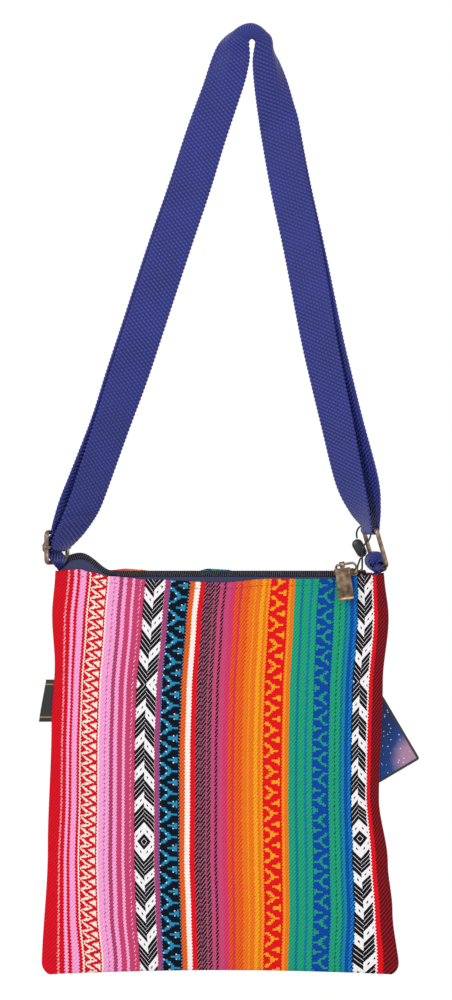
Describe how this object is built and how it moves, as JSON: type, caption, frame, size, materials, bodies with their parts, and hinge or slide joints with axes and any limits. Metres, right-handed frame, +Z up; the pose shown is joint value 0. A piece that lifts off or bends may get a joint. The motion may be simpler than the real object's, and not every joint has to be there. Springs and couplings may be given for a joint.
{
  "type": "crossbody bag",
  "caption": "Flat striped cloth crossbody bag with a zip along its mouth, hanging from a doubled webbing strap with a slide buckle and a ring.",
  "frame": {"origin": "underside of the inner strap layer at the top of its fold, the point that a hook or a hand holds", "axes": "+Z up, along the hang; +X to the right as seen from the front; the front faces -Y"},
  "size_m": [0.2439, 0.0366, 0.609],
  "materials": {
    "front_cloth": "woven striped cotton",
    "back_cloth": "woven striped cotton",
    "lining_cloth": "plain woven lining",
    "zip_tape": "woven tape",
    "zip_coil": "nylon coil",
    "antique_brass": "aged and lacquered",
    "webbing": "ribbed webbing",
    "label_tape": "woven label",
    "printed_card": "coated card",
    "thin_cord": "twisted cord",
    "seal_plastic": "moulded"
  },
  "bodies": {
    "bag": {"front_panel": "front_cloth", "back_panel": "back_cloth", "lining_front": "lining_cloth", "lining_back": "lining_cloth", "zip_tape_front": "zip_tape", "zip_tape_back": "zip_tape", "zip_coil_front": "zip_coil", "zip_coil_back": "zip_coil", "zip_bottom_stop": "antique_brass", "zip_top_stop_front": "antique_brass", "zip_top_stop_back": "antique_brass", "strap": "webbing", "ring_tab": "webbing", "slide_frame": "antique_brass", "slide_bar": "antique_brass", "strap_ring": "antique_brass", "side_label": "label_tape", "tag_cord": "thin_cord", "tag_seal": "seal_plastic"},
    "slider": {"slider_body": "antique_brass"},
    "pull": {"zip_pull": "antique_brass"},
    "tag": {"swing_tag": "printed_card"}
  },
  "joints": [
    {"name": "zip_slide", "type": "slide", "parent": "bag", "child": "slider", "axis": [1, 0, 0], "range_m": [-0.139, 0], "deforming": ["zip_coil_front", "zip_coil_back"]},
    {"name": "pull_swing", "type": "hinge", "parent": "slider", "child": "pull", "pos_m": [0.0581, -0.00594, -0.34284], "axis": [-0.9781, 0.1336, -0.1593], "range_deg": [0, 150]},
    {"name": "tag_swing", "type": "hinge", "parent": "bag", "child": "tag", "pos_m": [0.06027, 0.0111, -0.40072], "axis": [0, 1, 0], "range_deg": [-40, 40]}
  ]
}
